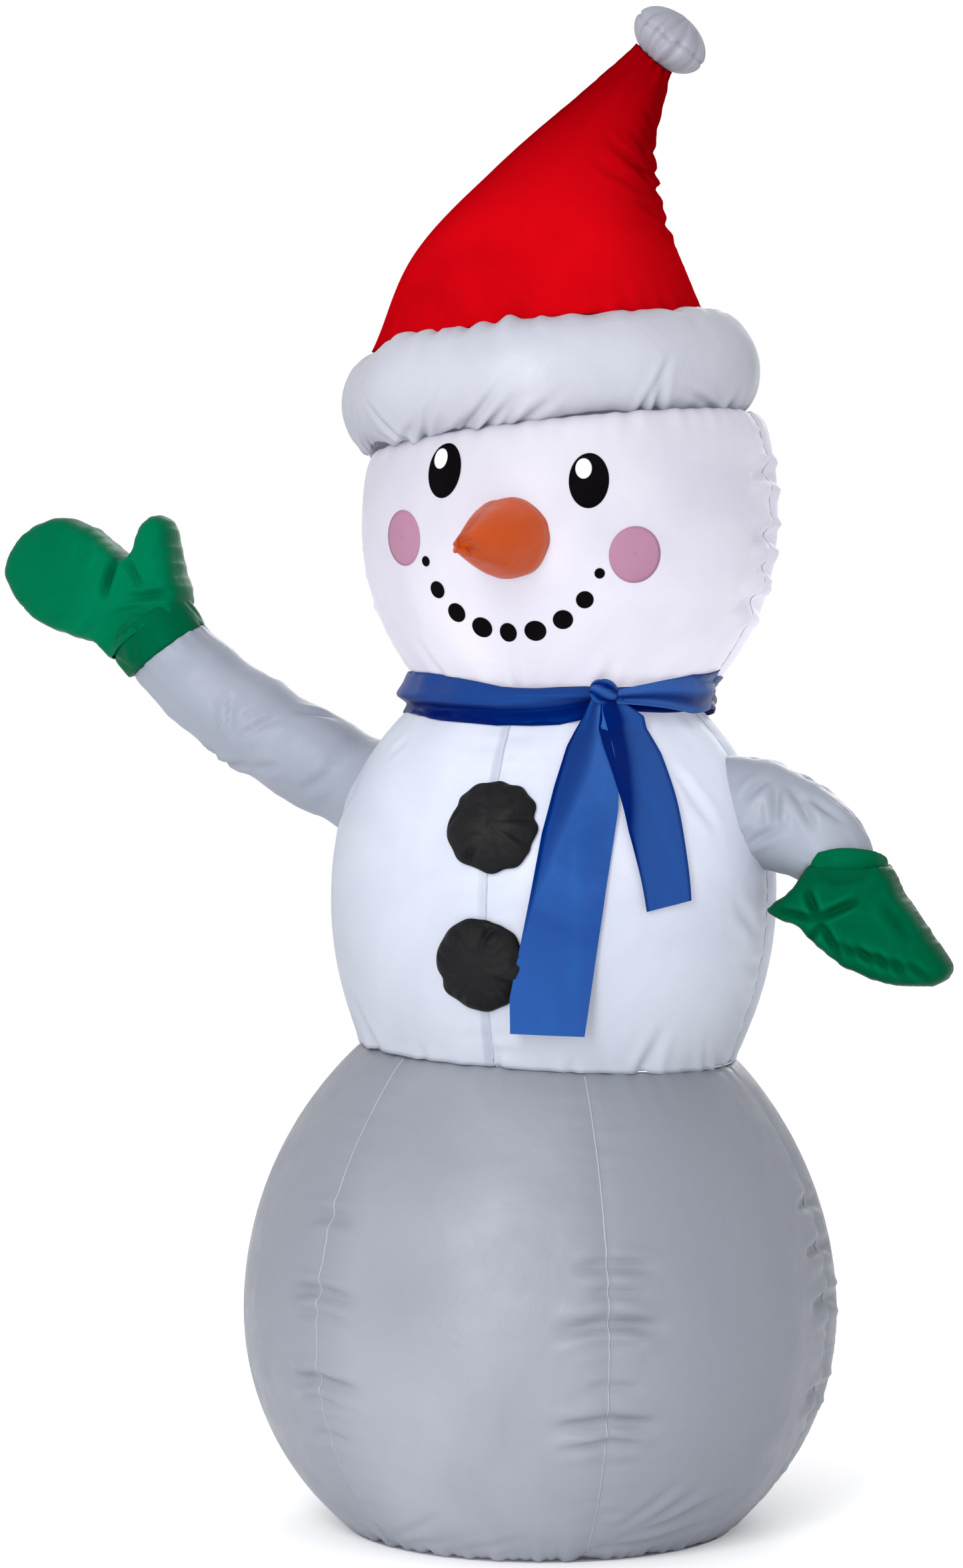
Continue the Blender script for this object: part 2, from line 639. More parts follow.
seam_lines("base_seams", seams, 1.4, "base_fabric", PALE_THREAD, lift=0.1)

rings, spokes = 26, 180
reach = np.linspace(2, 157.2, rings)[:, None] + np.zeros(spokes)
spin = circle(spokes) + 0 * reach
sag = 0.15 + 0.25 * (1 + ripple(rng, spin, 6, 30)) * np.sin(reach / 158 * math.pi)
floor_points = np.stack([reach * np.sin(spin), -reach * np.cos(spin), np.clip(sag, 0.02, 0.8)], -1)
panel = piece("base_bottom_panel", floor_points.reshape(-1, 3), grid_faces(rings, spokes), "base_fabric")
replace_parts(panel, "base_floor")
thicken(panel, 0.3, 1.0)

# ---- Torso -------------------------------------------------------------------------------------------

rng = np.random.default_rng(23)
torso = section([(145, -12, 274), (180.5, 130, 194), (99, 290)], TORSO, plane_of(WAIST, -0.6),
                plane_of(NECK, -0.3), 360, 84)
level, low, high = torso["level"], torso["low"], torso["high"]
push = 0.6 * ripple(rng, torso["angle"], 4, 13) * np.sin(low / (low + high) * math.pi)
for azimuth, draw in ((0, 2.0), (90, 2.6), (270, 2.6)):
    push += seam_draw(rng, off(torso, azimuth), level, draw, 11, 0.7, 15)
u = off(torso, 0)
for start, end, width, depth in [
    ((118, 0), (146, 44), 5, 4.0), ((128, 0), (140, 26), 4, 2.2), ((-122, 0), (-158, 46), 6, 3.6),
    ((-132, 0), (-150, 30), 4, 2.0),
    ((4, 0), (-3, 34), 3, 2.0), ((0, 232), (4, 262), 4, 1.8), ((60, 0), (66, 16), 4, 1.5),
    ((-60, 0), (-68, 18), 4, 1.4),
]:
    push += crease(u, low, start, end, width, depth, sewn=True)
for start, end, width, depth in [
    ((150, 238), (196, 196), 5, 2.4), ((138, 250), (168, 226), 4, 1.8), ((-168, 214), (-226, 176), 6, 2.4),
    ((-96, 262), (-120, 242), 4, 1.6), ((214, 140), (262, 110), 6, 2.2), ((-232, 150), (-276, 132), 6, 2.2),
    ((60, 250), (84, 262), 4, 1.5), ((226, 60), (262, 40), 6, 1.8), ((-236, 60), (-272, 46), 6, 1.8),
    ((226, 90), (280, 84), 5, 1.8), ((-240, 96), (-290, 92), 5, 1.8), ((-250, 20), (-262, 62), 5, 1.6),
]:
    push += crease(u, low, start, end, width, depth)
for number in range(20):
    at = rng.uniform(-math.pi, math.pi)
    if abs(at) > 0.95:
        push += crease(u, low, (at * 170, 0), (at * 170 + rng.uniform(-16, 16), rng.uniform(18, 44)),
                       rng.uniform(3, 6), rng.uniform(1, 2.4), True)
push += 2.0 * np.exp(-low / 9) + 0.25 * np.exp(-low / 18) * ripple(rng, torso["angle"], 18, 48)
push += 1.4 * np.exp(-high / 14) * ripple(rng, torso["angle"], 20, 46)
strip = np.exp(-((off(torso, 0) + 3) / 4.5) ** 4) * 0.85
limb = 0.5 * np.exp(-low / 8)
skin_piece("torso_body", torso, push, "torso_fabric", ["torso_front_left", "torso_front_right", "torso_back"],
           dark=np.maximum(strip, limb))
TORSO_PUSH = push
DULL_THREAD = fabric("torso_seam_tape", (152, 158, 172), (138, 145, 160), 0.5)
seam_lines("torso_seams", [tuple(p[1:-1] for p in at_column(torso, push, a)) for a in (0, 90, 270)], 1.2,
           "torso_fabric",
           DULL_THREAD, lift=0.0)

# ---- Head --------------------------------------------------------------------------------------------

rng = np.random.default_rng(37)
BRIM_FOOT = plane_of(BRIM, -39.0)
head = section([(97, -8, 194), (168, 144, 260), (128.5, 285)], HEAD, plane_of(NECK, 0.4), BRIM_FOOT, 360, 76)
level, low, high = head["level"], head["low"], head["high"]
push = 0.5 * ripple(rng, head["angle"], 4, 12) * np.sin(low / (low + high) * math.pi)
for azimuth in (90, 270):
    push += seam_draw(rng, off(head, azimuth), level, 3.0, 14, 1.0, 18)
push += lenses(off(head, 90), level,
               [(192, 50, 40, 8, 4.0), (142, 46, 40, 8, 4.2), (88, 50, 40, 9, 4.0), (116, 30, 30, 6, 2.4)])
push += lenses(off(head, 270), level, [(180, 34, 44, 8, 2.6), (128, 30, 40, 8, 3.0), (84, 34, 44, 9, 3.0)])
u = off(head, 0)
for start, end, width, depth in [
    ((1, 0), (3, 68), 3.5, 3.4), ((62, 6), (86, 56), 5, 3.8), ((74, 6), (92, 34), 4, 2.0),
    ((-60, 4), (-98, 62), 5, 3.4),
    ((-30, 0), (-40, 26), 4, 1.6), ((30, 0), (36, 24), 4, 1.6), ((-100, 0), (-138, 40), 5, 2.0),
    ((112, 0), (142, 44), 5, 2.2),
]:
    push += crease(u, low, start, end, width, depth, sewn=True)
for number in range(14):
    at = rng.uniform(1.2, 5.1)
    push += crease(off(head, 180), low, ((at - math.pi) * 140, 0),
                   ((at - math.pi) * 150 + rng.uniform(-14, 14), rng.uniform(24, 60)), rng.uniform(3, 6),
                   rng.uniform(1.2, 2.6), True)
push += (0.9 * np.exp(-low / 16) * ripple(rng, head["angle"], 16, 40)
         + 0.8 * np.exp(-high / 12) * ripple(rng, head["angle"], 20, 60))
push -= 7.0 * np.exp(-high / 6)
head_piece = skin_piece("head_body", head, push, "head_fabric", ["head_front", "head_back"], inward=(5, 34),
                        dark=0.55 * np.exp(-high / 7) + 0.5 * np.exp(-(off(head, 0) / 3.0) ** 2)
                        * np.clip(1 - low / 66, 0, 1))
seam_lines("head_seams", [tuple(p[1:-1] for p in at_column(head, push, a)) for a in (90, 270)], 1.2,
           "head_fabric",
           DULL_THREAD, lift=0.0)

# Prints: each is an oval seen from the middle of the head, laid on the skin along rays.
HEAD_MIDDLE = np.array([26.0, 0, 812])
head_tree = BVHTree.FromPolygons([tuple(v.co) for v in head_piece.data.vertices],
                                 [tuple(p.vertices) for p in head_piece.data.polygons])
ROLL = math.radians(4.37)


def towards(azimuth, elevation):
    """A direction from the middle of the head, tipped with the face."""
    a, e = math.radians(azimuth), math.radians(elevation)
    x, y, z = math.cos(e) * math.sin(a), -math.cos(e) * math.cos(a), math.sin(e)
    return np.array([x * math.cos(ROLL) + z * math.sin(ROLL), y, -x * math.sin(ROLL) + z * math.cos(ROLL)])


def prints(name, ovals, material, lift):
    """Ovals of ink; an oval is (azimuth, elevation, width, height, right shift, up shift)."""
    points, faces = [], []
    rings, spokes = 7, 40
    for azimuth, elevation, width, height, right, up in ovals:
        aim = towards(azimuth, elevation)
        side = np.cross([0, 0, 1], -aim)
        side = -side / np.linalg.norm(side)
        rise = np.cross(aim, side)
        rise = rise if rise[2] > 0 else -rise
        side = side * math.cos(ROLL) - rise * math.sin(ROLL) * (1 if side[0] > 0 else -1)
        side = side if side[0] > 0 else -side
        rise = rise * math.cos(ROLL) + np.array([math.sin(ROLL), 0, 0])
        base = len(points)
        for ring in range(rings + 1):
            for spoke in range(spokes):
                t = spoke / spokes * 2 * math.pi
                share = ring / rings
                flat = (aim * 165 + side * (right + width / 2 * share * math.cos(t))
                        + rise * (up + height / 2 * share * math.sin(t)))
                hit, normal, _, _ = head_tree.ray_cast(Vector(HEAD_MIDDLE * MM), Vector(flat).normalized())
                spot = np.array(hit) / MM
                facing = np.array(normal)
                facing = facing if facing @ flat > 0 else -facing
                points.append(spot + facing * lift)
        faces += (grid_faces(rings + 1, spokes)[:, ::-1] + base).tolist()
    return thicken(piece(name, points, faces, "head_fabric", material), 0.15, 1.0)


EYE_SIDE, EYE_UP = 20.5, 10.5
prints("eye_prints", [(a, EYE_UP, 30.5, 42, 0, 0) for a in (-EYE_SIDE, EYE_SIDE)], INK, 0.45)
prints("eye_highlights", [(a, EYE_UP, 12.4, 15.5, -4.6, 8.8) for a in (-EYE_SIDE, EYE_SIDE)], WHITE_INK, 0.75)
prints("cheek_prints", [(a, -7.9, 41, 43, 0, 0) for a in (-34.4, 34.4)], PINK_INK, 0.45)
SMILE = [(25.3, -13.6, 8.0), (22.0, -21.0, 13.4), (16.3, -26.9, 15.2), (8.3, -30.5, 16.4)]
dots = [(side * a, e, w, w, 0, 0) for side in (-1, 1) for a, e, w in SMILE] + [(0, -31.4, 13.0, 15.5, 0, 0)]
prints("mouth_prints", dots, INK, 0.45)

# ---- Brim and hat ------------------------------------------------------------------------------------

rng = np.random.default_rng(41)
brim_run = [(119, -38), (150, -40.4, 34), (166, -24, 46), (170.6, 2, 50), (158, 30, 40), (134.5, 40.6),
            (120, 36)]
brim = section(brim_run, BRIM, None, None, 420, 78)
level, low, high = brim["level"], brim["low"], brim["high"]
around = brim["angle"]
outer = np.clip((brim["radius"] - 122) / 20, 0, 1)
top_pull = np.exp(-np.abs(high - 16) / 16)
foot_pull = np.exp(-np.abs(low - 30) / 13)
push = (outer * (1.5 * top_pull * ripple(rng, around, 14, 40, 9)
                 + 0.6 * foot_pull * ripple(rng, around, 20, 50, 9)))
push += outer * 1.6 * ripple(rng, around, 3, 9)
u = off(brim, 0)
for number in range(44):
    at = rng.uniform(-math.pi, math.pi) * 165
    slant = rng.uniform(18, 56) * (1 if rng.random() < 0.72 else -1)
    push += (outer * crease(u, low, (at, 26), (at + slant, rng.uniform(52, 88)), rng.uniform(2.6, 5),
                            rng.uniform(1.6, 4.0), True))
for number in range(40):
    at = rng.uniform(-math.pi, math.pi) * 165
    push += (outer * crease(u, -high, (at, -14), (at + rng.uniform(-9, 9), -rng.uniform(34, 60)),
                            rng.uniform(3, 6), rng.uniform(0.9, 2.0), True))
skin_piece("hat_brim_roll", brim, push, "brim_fabric", ["hat_brim"], False, False,
           dark=0.5 * np.clip(top_pull * ripple(rng, around, 30, 60), 0, 1))

HOOPS = [
    (-0.8, 961.5, 134, -6), (5.8, 1020, 110.4, 2), (31.5, 1076, 72, 15), (58, 1126, 41, 28),
    (79.6, 1158, 27.5, 37),
    (95, 1181, 19, 41.5),
]


def through(values, count):
    """Catmull-Rom through rows of numbers, count rows in all."""
    values = np.asarray(values, float)
    padded = np.vstack([2 * values[0] - values[1], values, 2 * values[-1] - values[-2]])
    at = np.linspace(0, len(values) - 1.000001, count)
    k = at.astype(int)
    t = (at - k)[:, None]
    a, b, c, d = padded[k], padded[k + 1], padded[k + 2], padded[k + 3]
    square, cube = 2 * a - 5 * b + 4 * c - d, 3 * b - 3 * c + d - a
    return 0.5 * (2 * b + (c - a) * t + square * t ** 2 + cube * t ** 3)


rng = np.random.default_rng(53)
rows, cols = 110, 300
rings = through(HOOPS, rows)
angle = circle(cols)
height = (np.concatenate([[0], np.cumsum(np.linalg.norm(np.diff(rings[:, :2], axis=0), axis=1))])[:, None]
          + 0 * angle)
radius = rings[:, 2][:, None] + 0 * angle
lean = np.radians(rings[:, 3])
around = angle[None, :] + 0 * height
u = turn_from(around) * radius
push = 0.7 * ripple(rng, around, 3, 9) * np.clip(height / 40, 0, 1)
for azimuth in (90, 270):
    turn = turn_from(around, azimuth)
    push += seam_draw(rng, turn * radius, height, 2.0, 9, 0.5 if azimuth == 90 else 0.15, 12)
turn = turn_from(around, 90)
for start, end, width, depth in [
    ((-58, 172), (-6, 148), 4.0, 3.6), ((-74, 150), (-16, 136), 5, 2.0), ((-36, 186), (0, 168), 3.4, 2.4),
    ((-40, 126), (6, 116), 5, 2.2), ((-26, 208), (4, 194), 3.2, 1.6), ((-30, 154), (30, 160), 3.6, 2.4),
    ((-14, 140), (44, 148), 5, 2.4), ((2, 174), (40, 186), 4, 2.0), ((0, 112), (52, 104), 6, 2.0),
    ((-18, 98), (22, 90), 5, 1.6),
]:
    push += 1.25 * crease(turn * radius, height, start, end, width, depth)
push += np.exp(-height / 15) * (0.8 * ripple(rng, around, 18, 40) + 1.2)
push -= 1.5 * np.exp(-(height.max() - height) / 5) * (1 + 0.8 * ripple(rng, around, 6, 12))
out = np.stack([np.sin(angle), -np.cos(angle), 0 * angle], 1)
points = np.zeros((rows, cols, 3))
for r in range(rows):
    points[r] = carry(placed(rings[r, 0], rings[r, 1], rings[r, 3]), out * (rings[r, 2] + push[r])[:, None])
hat = piece("hat_cone", points.reshape(-1, 3), grid_faces(rows, cols), "hat_fabric")
away = np.abs(turn_from(around - 0.2))
shade(hat, np.clip(height / height.max() * 1.6 - 0.5, 0, 1.0) + 0.4 * np.exp(-height / 6)
      + 0.35 * np.clip(away - 0.25, 0, 0.8))
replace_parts(thicken(hat), "hat_front_panel", "hat_back_panel")

rng = np.random.default_rng(59)
TIP = placed(95, 1181, 41.5)
rows, cols = 40, 96
rise = np.linspace(-math.pi / 2 * 0.86, math.pi / 2 * 0.985, rows)[:, None] + np.zeros(cols)
angle = circle(cols) + 0 * rise
pleats = np.abs(np.cos(angle * 7 + 0.7 * np.sin(3 * angle))) ** 0.6
round_up = 33.0 * np.cos(rise) - 2.6 * (1 - pleats) * np.cos(rise) ** 0.5 + 0.5 * ripple(rng, angle, 5, 20)
side = 21.5 * np.sin(rise) + 21.0 + 0.7 * ripple(rng, angle, 3, 9) * np.cos(rise)
seam = np.exp(-((rise - 0.1 - 0.12 * np.sin(2 * angle)) / 0.07) ** 2)
round_up = round_up - 1.8 * seam + 0.5 * seam * ripple(rng, angle, 16, 34)
ball_points = np.stack([round_up * np.sin(angle), -round_up * np.cos(angle), side - 2.0], -1)
pompom = piece("hat_pompom_puff", carry(TIP, ball_points).reshape(-1, 3), grid_faces(rows, cols),
               "pompom_fabric")
shade(pompom, np.clip((1 - pleats) * 0.8 + seam * 0.3, 0, 1))
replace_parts(thicken(pompom), "hat_pompom")

# ---- Arms --------------------------------------------------------------------------------------------


def sleeve(name, node, route, radii, folds, seed):
    """A soft tube along a route; a fold is (start, end, width, depth) in (round, along) millimetres."""
    rng = np.random.default_rng(seed)
    rows, cols = 76, 132
    line = through(route, rows)
    run = np.concatenate([[0], np.cumsum(np.linalg.norm(np.diff(line, axis=0), axis=1))])
    ahead = np.gradient(line, axis=0)
    ahead /= np.linalg.norm(ahead, axis=1)[:, None]
    front = np.array([0, -1.0, 0])
    angle = circle(cols)
    radius = np.interp(run, np.linspace(0, run[-1], len(radii)), radii)
    u = turn_from(angle)[None, :] * radius[:, None]
    v = run[:, None] + 0 * u
    grid = angle[None, :] + 0 * u
    push = 0.5 * ripple(rng, grid, 2, 7) + 0.5 * wobble(rng, v, 30, 80)
    for start, end, width, depth in folds:
        push += 1.35 * crease(u, v, start, end, width, depth)
    under = turn_from(grid - math.pi / 2)
    push += seam_draw(rng, under * 38, v, 1.2, 9, 0.3, 12)
    push += np.exp(-(run[-1] - v) / 9) * (1.0 * ripple(rng, grid, 9, 24) - 1.2)
    points = np.zeros((rows, cols, 3))
    for r in range(rows):
        side = np.cross(front, ahead[r])
        side /= np.linalg.norm(side)
        face = np.cross(ahead[r], side)
        ring = face[None] * np.cos(angle)[:, None] + side[None] * np.sin(angle)[:, None]
        points[r] = line[r] + ring * (radius[r] + push[r])[:, None]
    made = piece(name, points.reshape(-1, 3), grid_faces(rows, cols), "arm_fabric")
    shade(made, np.zeros(rows * cols))
    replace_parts(thicken(made), node)
    return line[-1], ahead[-1]


RAISED = [(-140, 0, 593), (-160, 0, 601), (-213, -4, 629), (-268, -8, 663), (-306, -10, 694),
          (-323, -10, 712)]
LOWERED = [(134, 0, 584), (150, 0, 582), (189, -4, 577), (223, -10, 565), (247, -17, 548), (257, -22, 530)]
sleeve("raised_sleeve_tube", "raised_sleeve", RAISED, [39.5, 39.3, 38.8, 38, 36.6, 34.4], [
    ((-26, 96), (10, 116), 3.5, 2.2), ((-30, 106), (6, 126), 3, 1.6), ((-20, 140), (16, 118), 3.5, 2.2),
    ((-6, 150), (24, 128), 3, 1.6),
    ((8, 74), (34, 96), 4, 1.8), ((30, 100), (56, 128), 4, 2.2), ((34, 140), (64, 120), 4, 2.0),
    ((-60, 60), (-34, 90), 5, 1.8),
    ((70, 40), (100, 64), 4, 2.2), ((66, 80), (104, 92), 4, 2.4), ((64, 150), (104, 140), 4, 2.2),
    ((-100, 120), (-64, 132), 5, 1.6),
    ((-8, 30), (26, 52), 5, 1.6),
], 61)
sleeve("lowered_sleeve_tube", "lowered_sleeve", LOWERED, [44, 43.6, 42.5, 38.5, 33.0, 26.5], [
    ((34, 66), (-4, 84), 3.5, 2.6), ((36, 74), (8, 112), 3.5, 2.4), ((38, 62), (10, 50), 4, 2.2),
    ((30, 86), (30, 122), 4, 1.8),
    ((-44, 20), (-14, 44), 4, 2.2), ((-36, 36), (-8, 64), 4, 2.0), ((-30, 52), (2, 92), 4, 1.8),
    ((-64, 30), (-44, 70), 5, 1.8),
    ((60, 40), (96, 54), 4, 2.4), ((56, 78), (96, 88), 4, 2.4), ((-20, 8), (14, 24), 4, 2.0),
    ((-100, 60), (-70, 76), 5, 1.6),
], 67)


def cuff(name, node, wrist, aim, radius, length, seed, slant=0.0):
    """A band sewn round a wrist, slightly gathered at both of its seams."""
    rng = np.random.default_rng(seed)
    aim = np.array(aim, float) / np.linalg.norm(aim)
    side = np.cross([0, -1.0, 0], aim)
    side /= np.linalg.norm(side)
    face = np.cross(aim, side)
    rows, cols = 26, 120
    t = np.linspace(0, 1, rows)[:, None]
    angle = circle(cols) + 0 * t
    swell = radius - 1.6 + 2.0 * np.sin(math.pi * np.clip(t, 0.02, 0.98)) ** 0.5
    push = (0.3 * ripple(rng, angle, 4, 12) + (np.exp(-t * 6) + np.exp(-(1 - t) * 6)) * 0.3
            * ripple(rng, angle, 14, 34))
    u = turn_from(angle) * radius
    for _ in range(6):
        at = rng.uniform(-110, 110)
        push += crease(u, t * length, (at, 2), (at + rng.uniform(-26, 26), length - 2), 3,
                       rng.uniform(0.4, 1.2))
    ring = face * np.cos(angle)[..., None] + side * np.sin(angle)[..., None]
    along = 0.6 + t * (length - 1.2) - slant * np.cos(angle) * (1 - t)
    swell = swell - 5 * (t == 0) - 4 * (t == 1)
    points = np.array(wrist) + aim * along[..., None] + ring * (swell + push)[..., None]
    made = piece(name, points.reshape(-1, 3), grid_faces(rows, cols), "cuff_fabric")
    shade(made, np.clip(0.6 * (np.exp(-t * 14) + np.exp(-(1 - t) * 14)) + 0 * angle, 0, 1))
    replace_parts(thicken(made), node)


cuff("raised_cuff_band", "raised_cuff", (-321, -10, 707), (-0.57, 0, 0.82), 38.5, 30, 71, 5.0)
cuff("lowered_cuff_band", "lowered_cuff", (258, -22, 544), (2, -2, -18), 31.6, 14, 73, 7.0)


def inflate(obj, pinned, surplus, pressure, cap):
    """Blows the cloth up with air and makes it permanent; no point moves further than cap."""
    group = obj.vertex_groups.new(name="held")
    group.add([int(i) for i in pinned], 1.0, "REPLACE")
    air = obj.modifiers.new("air", "CLOTH")
    rest = np.empty(len(obj.data.vertices) * 3)
    obj.data.vertices.foreach_get("co", rest)
    cloth = air.settings
    cloth.quality = 6
    cloth.mass = 0.05
    cloth.tension_stiffness = cloth.compression_stiffness = 12.0
    cloth.shear_stiffness = 4.0
    cloth.bending_stiffness = 0.05
    cloth.vertex_group_mass = "held"
    cloth.use_pressure = True
    cloth.uniform_pressure_force = pressure
    cloth.shrink_min = -surplus
    cloth.effector_weights.gravity = 0
    air.collision_settings.use_collision = False
    air.point_cache.frame_start, air.point_cache.frame_end = 1, CLOTH_FRAMES
    for number in range(1, CLOTH_FRAMES + 1):
        scene.frame_set(number)
    shaped = obj.evaluated_get(bpy.context.evaluated_depsgraph_get())
    moved = np.empty_like(rest)
    shaped.data.vertices.foreach_get("co", moved)
    shift = (moved - rest).reshape(-1, 3)
    length = np.linalg.norm(shift, axis=1, keepdims=True)
    shift *= np.minimum(1, cap * MM / np.maximum(length, 1e-9))
    obj.modifiers.remove(air)
    obj.vertex_groups.remove(group)
    obj.data.vertices.foreach_set("co", (rest.reshape(-1, 3) + shift).ravel())
    obj.data.update()
    scene.frame_set(1)


def settle(obj, weight, rounds):
    """Evens a mesh out towards its neighbours, by a share for each point."""
    spots = np.array([v.co for v in obj.data.vertices])
    edges = np.array([e.vertices[:] for e in obj.data.edges])
    count = np.bincount(edges.ravel(), minlength=len(spots))[:, None]
    for _ in range(rounds):
        total = np.zeros_like(spots)
        np.add.at(total, edges[:, 0], spots[edges[:, 1]])
        np.add.at(total, edges[:, 1], spots[edges[:, 0]])
        spots += weight[:, None] * (total / count - spots)
    obj.data.vertices.foreach_set("co", spots.ravel())
    obj.data.update()


def inside(px, py, loop):
    """Which points lie inside a closed loop."""
    hit = np.zeros(np.shape(px), bool)
    for (x0, y0), (x1, y1) in zip(loop, np.roll(loop, -1, axis=0)):
        cross = (y0 > py) != (y1 > py)
        with np.errstate(divide="ignore", invalid="ignore"):
            at = (x1 - x0) * (py - y0) / (y1 - y0) + x0
        hit ^= cross & (px < at)
    return hit


def air_height(loop, open_ends):
    """How far air lifts each side of a flat bag: the root of a membrane's sag, free at the open ends."""
    step = 2.5
    low, high = loop.min(axis=0) - 3 * step, loop.max(axis=0) + 3 * step
    nx, ny = (int(n) for n in (high - low) / step + 1)
    gx, gy = np.meshgrid(low[0] + step * np.arange(nx), low[1] + step * np.arange(ny), indexing="ij")
    mask = inside(gx, gy, loop)
    free = np.zeros_like(mask)
    for a, b in open_ends:
        a, b = np.array(a, float), np.array(b, float)
        run = (b - a) / np.linalg.norm(b - a)
        t = (gx - a[0]) * run[0] + (gy - a[1]) * run[1]
        x = np.abs(-(gx - a[0]) * run[1] + (gy - a[1]) * run[0])
        free |= (x < 4 * step) & (t > step) & (t < np.linalg.norm(b - a) - step) & ~mask
    sag = np.zeros(gx.shape)
    for _ in range(900):
        near = sum(np.where(np.roll(mask | free, k, axis), np.roll(sag, k, axis), 0)
                   for k in (1, -1) for axis in (0, 1))
        count = sum(np.roll(mask | free, k, axis).astype(int) for k in (1, -1) for axis in (0, 1))
        average = near / 4 + step * step / 4
        spread = near / np.maximum(count, 1)
        sag = np.where(mask, average, np.where(free, spread, 0))
    return gx, gy, np.sqrt(4 * np.maximum(sag, 0))


def sample(gx, gy, values, x, y):
    fx, fy = (x - gx[0, 0]) / (gx[1, 0] - gx[0, 0]), (y - gy[0, 0]) / (gy[0, 1] - gy[0, 0])
    i, j = np.clip(fx.astype(int), 0, gx.shape[0] - 2), np.clip(fy.astype(int), 0, gx.shape[1] - 2)
    a, b = fx - i, fy - j
    return ((1 - a) * (1 - b) * values[i, j] + a * (1 - b) * values[i + 1, j]
            + (1 - a) * b * values[i, j + 1] + a * b * values[i + 1, j + 1])


def loop_through(corners, step):
    """A smooth closed loop through corners, in even steps."""
    corners = np.asarray(corners, float)
    ring = np.vstack([corners[-1:], corners, corners[:2]])
    dense = through(ring, 60 * len(ring))
    span = 60 * len(ring) / (len(ring) - 1)
    dense = dense[int(span):int(span * (len(corners) + 1))]
    run = np.concatenate([[0], np.cumsum(np.linalg.norm(np.diff(dense, axis=0), axis=1))])
    count = int(run[-1] / step)
    at = np.arange(count) * run[-1] / count
    return np.stack([np.interp(at, run, dense[:, n]) for n in range(2)], 1)


def bag(name, node, corners, wrist, depth, centre_y, slot, seed, dim, folds):
    """A two-layer cloth bag sewn along its outline in the XZ plane, open at its wrist, and full of air."""
    step = 2.6
    rng = np.random.default_rng(seed)
    loop = loop_through(corners, step)
    gx, gy, height = air_height(loop, [wrist])
    low, high = loop.min(axis=0), loop.max(axis=0)
    spots = []
    for i, x in enumerate(np.arange(low[0], high[0], step)):
        for z in np.arange(low[1] + (i % 2) * step / 2, high[1], step):
            spots.append((x, z))
    spots = np.array(spots)
    spots = spots[inside(spots[:, 0], spots[:, 1], loop)]
    apart = np.min(np.linalg.norm(spots[:, None] - loop[None], axis=2), axis=1)
    spots = spots[apart > step * 0.6]
    flat = [Vector(p) for p in np.vstack([loop, spots])]
    count = len(loop)
    made = geometry.delaunay_2d_cdt(flat, [], [list(range(count))], 1, 1e-5)
    verts, faces = np.array([tuple(v) for v in made[0]]), [list(f) for f in made[2]]
    lift = sample(gx, gy, height, verts[:, 0], verts[:, 1])
    lift = depth * np.tanh(lift / depth * 1.15)
    a, b = (np.array(p, float) for p in wrist)
    run = (b - a) / np.linalg.norm(b - a)
    t = (verts - a) @ run
    x = np.abs((verts - a) @ np.array([-run[1], run[0]]))
    at_wrist = (x < step * 0.8) & (t > -step) & (t < np.linalg.norm(b - a) + step)
    edge = np.arange(len(verts)) < count
    sewn = edge & ~(at_wrist & (t > step) & (t < np.linalg.norm(b - a) - step))
    apart = np.linalg.norm(verts[:, None] - loop[None], axis=2)
    nearest = apart.argmin(axis=1) * step
    lift = lift * (1 + 0.02 * wobble(rng, nearest, 14, 40) * np.exp(-apart.min(axis=1) / 12))
    half = np.linalg.norm(b - a) / 2
    wrist_round = 1.03 * np.sqrt(np.clip(half ** 2 - (t - half) ** 2, 0, None)) * np.exp(-(x / 26) ** 2)
    lift = np.maximum(lift, wrist_round)
    relief = sum(crease(verts[:, 0], verts[:, 1], *fold) for fold in folds)
    lift = lift + relief
    lift = np.where(sewn, 0.0, np.maximum(lift, 0.6))
    front = np.stack([verts[:, 0], centre_y - lift, verts[:, 1]], 1)
    back = np.stack([verts[:, 0], centre_y + lift, verts[:, 1]], 1)
    index = np.where(sewn, np.arange(len(verts)), np.arange(len(verts)) + len(verts))
    both = np.vstack([front, back])
    used = [list(f) for f in faces] + [[int(index[i]) for i in f][::-1] for f in faces]
    normal = np.cross(both[used[0][1]] - both[used[0][0]], both[used[0][2]] - both[used[0][0]])
    if normal[1] > 0:
        used = [f[::-1] for f in used]
    keep = sorted({i for f in used for i in f})
    place = {old: new for new, old in enumerate(keep)}
    obj = piece(name, both[keep], [[place[i] for i in f] for f in used], slot, body=None)
    held = [place[i] for i in keep if (i < len(verts) and sewn[i]) or at_wrist[i % len(verts)]]
    inflate(obj, held, 0.012, 5.0, 2.2)
    settle(obj, 0.6 * np.exp(-np.tile(apart.min(axis=1), 2)[keep] / 7) * ~np.tile(at_wrist, 2)[keep], 4)
    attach(obj, "root")
    edging = np.clip(0.5 - np.abs(both[keep][:, 1] - centre_y) / 6, 0, 0.5)
    shade(obj, np.clip(dim + edging - 0.16 * np.tile(relief, 2)[keep], 0, 1))
    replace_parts(obj, node)
    smooth = obj.modifiers.new("even", "SUBSURF")
    smooth.levels = smooth.render_levels = 1
    thicken(obj, 0.5)
    return obj


